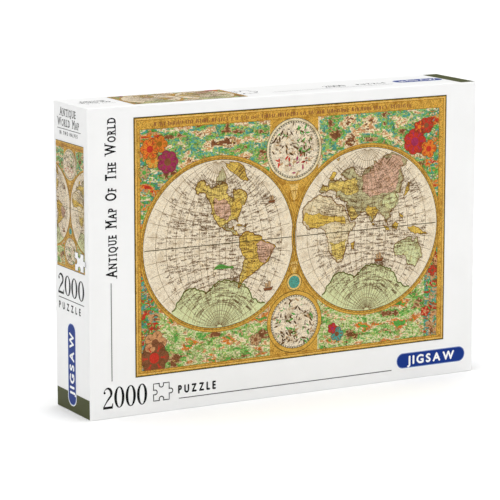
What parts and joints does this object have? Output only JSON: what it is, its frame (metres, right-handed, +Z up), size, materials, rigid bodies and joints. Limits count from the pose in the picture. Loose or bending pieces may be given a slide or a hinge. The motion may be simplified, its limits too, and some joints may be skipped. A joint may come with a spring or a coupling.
{
  "type": "boxed jigsaw puzzle",
  "caption": "Flat oblong set-up box standing on its long edge, with a printed lid over a base tray, holding a bag of loose jigsaw pieces and a folded leaflet.",
  "frame": {"origin": "on the surface that the box stands on, under the middle of the closed box", "axes": "+X along the box from left to right as its printed lid is read, -Y out of the lid's printed face, +Z up"},
  "size_m": [0.418, 0.072, 0.288],
  "materials": {
    "lid_print": "printed wrap paper with a soft matt varnish",
    "base_print": "printed wrap paper with a soft matt varnish",
    "greyboard": "recycled grey chipboard, raw",
    "stay_tape": "brown gummed kraft tape",
    "polythene_film": "clear low-density polythene film",
    "puzzle_board": "die-cut puzzle board, linen-embossed print on blue-grey core",
    "leaflet_paper": "uncoated offset paper, printed and folded once"
  },
  "bodies": {
    "base": {"base_board": "greyboard", "base_wrap": "base_print", "base_corner_stay_1": "stay_tape", "base_corner_stay_2": "stay_tape", "base_corner_stay_3": "stay_tape", "base_corner_stay_4": "stay_tape"},
    "lid": {"lid_board": "greyboard", "lid_wrap": "lid_print", "lid_corner_stay_1": "stay_tape", "lid_corner_stay_2": "stay_tape", "lid_corner_stay_3": "stay_tape", "lid_corner_stay_4": "stay_tape"},
    "bag": {"piece_bag": "polythene_film", "puzzle_pile": "puzzle_board", "puzzle_pieces": "puzzle_board"},
    "leaflet": {"leaflet": "leaflet_paper"}
  },
  "joints": [
    {"name": "lid_slide", "type": "slide", "parent": "base", "child": "lid", "axis": [0, -1, 0], "range_m": [0, 0.2]},
    {"name": "bag_slide", "type": "slide", "parent": "base", "child": "bag", "axis": [0, -1, 0], "range_m": [0, 0.09]},
    {"name": "leaflet_slide", "type": "slide", "parent": "base", "child": "leaflet", "axis": [0, -1, 0], "range_m": [0, 0.115]}
  ],
  "couplings": [
    {"joint": "bag_slide", "follows": "lid_slide", "ratio": 0.45},
    {"joint": "leaflet_slide", "follows": "lid_slide", "ratio": 0.575}
  ]
}
